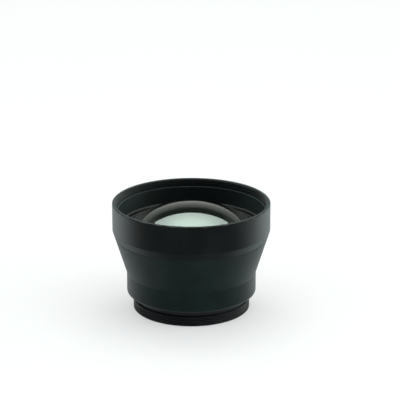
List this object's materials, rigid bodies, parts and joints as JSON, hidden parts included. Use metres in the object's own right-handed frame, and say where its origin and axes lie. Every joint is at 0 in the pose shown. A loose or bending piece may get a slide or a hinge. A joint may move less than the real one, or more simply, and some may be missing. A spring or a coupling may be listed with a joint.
{
  "type": "tele conversion lens",
  "caption": "Screw-in tele conversion lens: a turned black barrel that flares from a narrow rear thread to a wide rim around a bulging front glass.",
  "frame": {"origin": "centre of the rear thread's end face, on which the lens stands", "axes": "+Z along the optical axis towards the front glass; X and Y across it, alike all round"},
  "size_m": [0.07, 0.07, 0.0489],
  "materials": {
    "black_front_barrel": "satin black anodised, a shade darker",
    "black_barrel": "satin black anodised",
    "black_mount": "satin black anodised",
    "matte_black_ring": "matte black anodised",
    "black_rubber": "matte",
    "coated_glass": "polished, coated with a green tint",
    "clear_glass": "polished",
    "brass_shim": "rolled",
    "black_screw_steel": "blackened"
  },
  "bodies": {
    "root": {"front_barrel": "black_front_barrel", "front_retaining_ring": "matte_black_ring", "front_sealing_ring": "black_rubber", "front_element": "coated_glass", "front_spacer": "matte_black_ring", "crown_element": "clear_glass", "flint_element": "clear_glass", "baffle_lock_ring": "matte_black_ring", "baffle_tube": "matte_black_ring", "light_stop": "matte_black_ring", "rear_barrel": "black_barrel", "rear_cell": "black_mount", "adjusting_shim": "brass_shim", "negative_element": "clear_glass", "rear_meniscus": "coated_glass", "rear_retaining_ring": "matte_black_ring", "rear_mount_ring": "black_mount", "mount_screws": "black_screw_steel"}
  },
  "joints": []
}
